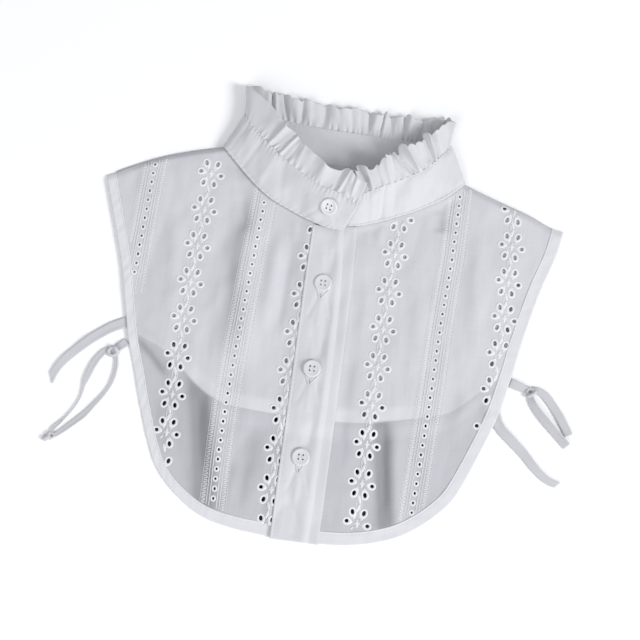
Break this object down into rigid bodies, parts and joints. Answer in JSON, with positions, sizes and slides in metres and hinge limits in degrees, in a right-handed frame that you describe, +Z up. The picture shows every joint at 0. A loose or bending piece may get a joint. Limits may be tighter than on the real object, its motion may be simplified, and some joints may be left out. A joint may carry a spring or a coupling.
{
  "type": "detachable blouse collar",
  "caption": "Detachable half-blouse collar laid flat: eyelet fronts over a short back, button placket, stand band with gathered frill, bound edges and side ties.",
  "frame": {"origin": "on the surface it lies on, under the middle of the shoulder line", "axes": "+X to the viewer's right across the garment, +Y from the hem to the neck along the button line, +Z up off the surface"},
  "size_m": [0.3758, 0.327, 0.0308],
  "materials": {
    "eyelet_cotton": "fine white cotton voile with white eyelet embroidery",
    "plain_cotton": "plain white cotton, doubled and top-stitched",
    "frill_cotton": "fine white cotton, gathered",
    "tie_cotton": "narrow folded white cotton tape",
    "button": "milky white four-hole shirt button"
  },
  "bodies": {
    "root": {"front_left": "eyelet_cotton", "front_right": "eyelet_cotton", "back": "eyelet_cotton", "back_binding": "plain_cotton", "front_binding_left": "plain_cotton", "front_binding_right": "plain_cotton", "top_placket": "plain_cotton", "under_placket": "plain_cotton", "neck_band": "plain_cotton", "collar_frill": "frill_cotton", "collar_button": "button", "placket_button_1": "button", "placket_button_2": "button", "placket_button_3": "button", "back_tie_left": "tie_cotton", "back_tie_right": "tie_cotton", "front_tab_left": "tie_cotton", "front_tab_right": "tie_cotton", "front_tie_left_outer": "tie_cotton", "front_tie_left_inner": "tie_cotton", "front_tie_right_outer": "tie_cotton", "front_tie_right_inner": "tie_cotton", "tie_knot_left": "tie_cotton", "tie_knot_right": "tie_cotton", "tie_end_knot_left": "tie_cotton"}
  },
  "joints": []
}
